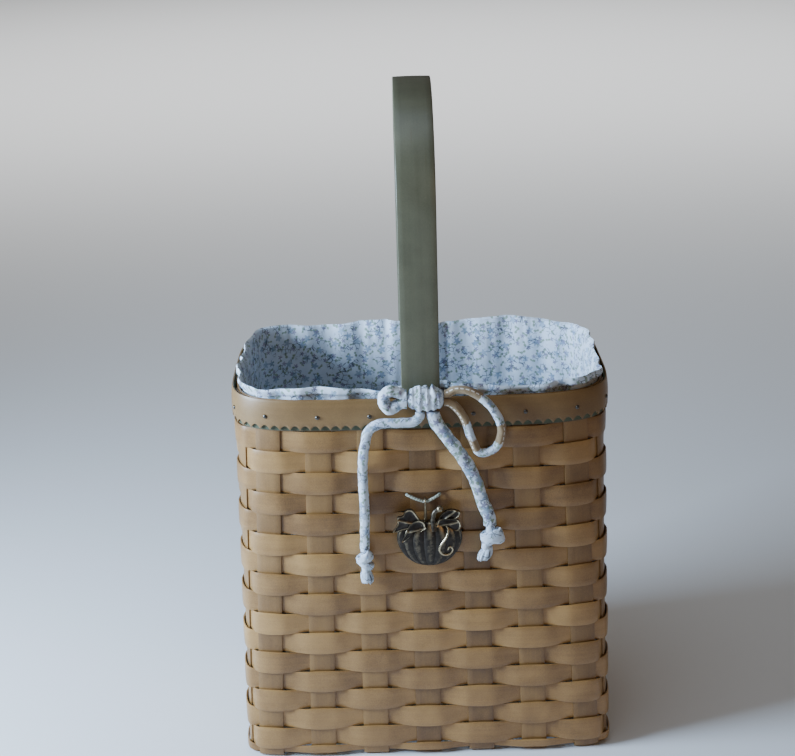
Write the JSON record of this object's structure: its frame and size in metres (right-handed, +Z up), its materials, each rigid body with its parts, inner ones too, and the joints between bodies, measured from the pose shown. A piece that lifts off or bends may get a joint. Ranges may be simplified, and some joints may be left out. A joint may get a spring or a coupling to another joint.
{
  "type": "woven splint basket",
  "caption": "Tall woven splint basket with a fixed hoop handle, pinked rim band, fabric liner with a bow tie, and a small charm that swings on a cord.",
  "frame": {"origin": "middle of the underside, on the surface that the basket stands on", "axes": "+Z up, +X to the right along the wide front, -Y out of the front wall that carries the tie and the charm"},
  "size_m": [0.3302, 0.2157, 0.592],
  "materials": {
    "splint": "oiled wood splint",
    "band": "satin stained wood",
    "trim": "dyed splint",
    "handle": "satin stained wood",
    "liner": "printed woven cotton",
    "tie": "rolled cotton strip",
    "cord": "twisted cotton cord",
    "tack": "blued steel",
    "bronze": "dark patina with rubbed gilt edges"
  },
  "bodies": {
    "basket": {"weaver_01": "splint", "weaver_02": "splint", "weaver_03": "splint", "weaver_04": "splint", "weaver_05": "splint", "weaver_06": "splint", "weaver_07": "splint", "weaver_08": "splint", "weaver_09": "splint", "weaver_10": "splint", "weaver_11": "splint", "weaver_12": "splint", "weaver_13": "splint", "weaver_14": "splint", "weaver_15": "splint", "weaver_16": "splint", "weaver_start": "splint", "upright_long_1": "splint", "upright_long_2": "splint", "upright_long_3": "splint", "upright_long_4": "splint", "upright_long_5": "splint", "upright_long_6": "splint", "upright_long_7": "splint", "upright_cross_1": "splint", "upright_cross_2": "splint", "upright_cross_3": "splint", "upright_cross_4": "splint", "rim_band": "band", "trim_strip": "trim", "inner_band": "splint", "handle": "handle", "liner": "liner", "tack_front_1": "tack", "tack_front_2": "tack", "tack_front_3": "tack", "tack_front_4": "tack", "tack_front_5": "tack", "tack_front_6": "tack", "tack_front_7": "tack", "tack_back_1": "tack", "tack_back_2": "tack", "tack_back_3": "tack", "tack_back_4": "tack", "tack_back_5": "tack", "tack_back_6": "tack", "tack_back_7": "tack", "bow_knot": "tie", "bow_left": "tie", "bow_right": "tie", "tail_left": "tie", "tail_right": "tie", "tail_end_left": "tie", "tail_end_right": "tie", "charm_cord": "cord"},
    "charm": {"charm": "bronze"}
  },
  "joints": [
    {"name": "charm_swing", "type": "hinge", "parent": "basket", "child": "charm", "pos_m": [0.0015, -0.09995, 0.24975], "axis": [-1, 0, 0], "range_deg": [0, 75]}
  ]
}
